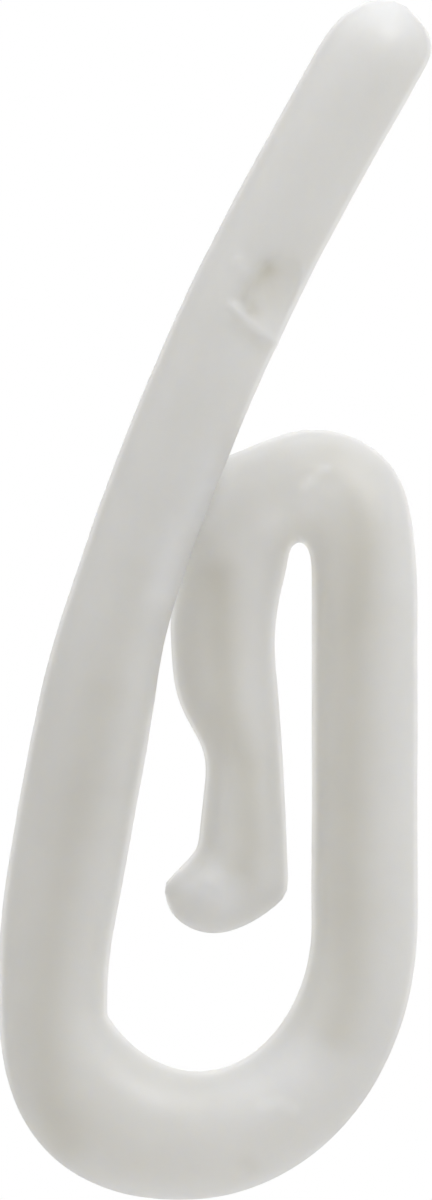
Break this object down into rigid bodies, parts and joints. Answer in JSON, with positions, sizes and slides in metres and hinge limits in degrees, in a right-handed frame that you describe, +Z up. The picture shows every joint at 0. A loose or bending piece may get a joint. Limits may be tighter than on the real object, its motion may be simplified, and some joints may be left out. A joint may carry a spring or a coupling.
{
  "type": "curtain hook",
  "caption": "One-piece moulded curtain hook: a flattened loop of round strand that rises into a long leaning prong, with a crown, a snap tongue and a toe.",
  "frame": {"origin": "the saddle: the top of the slot under the crown, midway between front and back, where the eye of a glider or ring rests", "axes": "+Z up as the hook hangs, +X from the prong's foot towards the shank, +Y from front to back"},
  "size_m": [0.0108, 0.004, 0.03],
  "materials": {
    "nylon": "natural nylon, slightly translucent, satin from the mould"
  },
  "bodies": {
    "root": {"hook": "nylon"}
  },
  "joints": []
}
